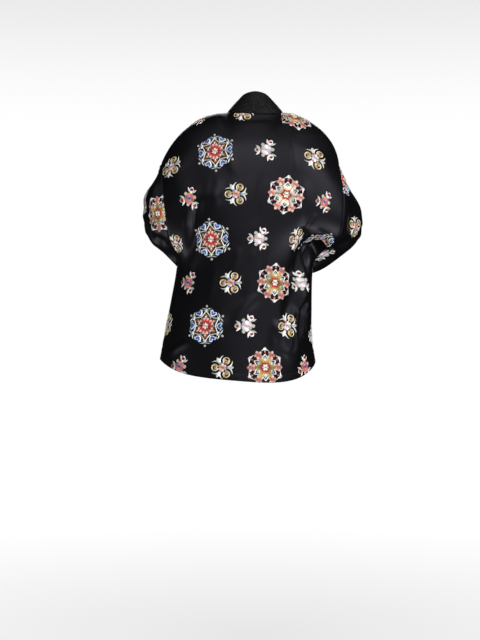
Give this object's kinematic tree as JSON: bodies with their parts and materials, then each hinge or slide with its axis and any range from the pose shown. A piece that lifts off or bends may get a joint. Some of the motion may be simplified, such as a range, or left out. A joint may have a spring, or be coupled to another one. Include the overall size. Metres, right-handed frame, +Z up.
{
  "type": "embroidered coat",
  "caption": "Hip-length open-front coat of black satin with flower-medallion embroidery, dropped-shoulder sleeves, a curved hem and a standing neckband, in its worn form.",
  "frame": {"origin": "between the shoulders, midway between the neck points and level with them, where the wearer carries the coat", "axes": "+Z up, the fronts and the front opening face -Y, the back faces +Y, and the wearer's left is +X"},
  "size_m": [0.6301, 0.4585, 0.8161],
  "materials": {
    "black_satin": "smooth satin with a soft sheen, embroidered with coloured flower medallions",
    "black_jacquard": "matte woven band with a fine self pattern"
  },
  "bodies": {
    "root": {"back": "black_satin", "front_left": "black_satin", "front_right": "black_satin", "sleeve_left": "black_satin", "sleeve_right": "black_satin", "neckband": "black_jacquard"}
  },
  "joints": []
}
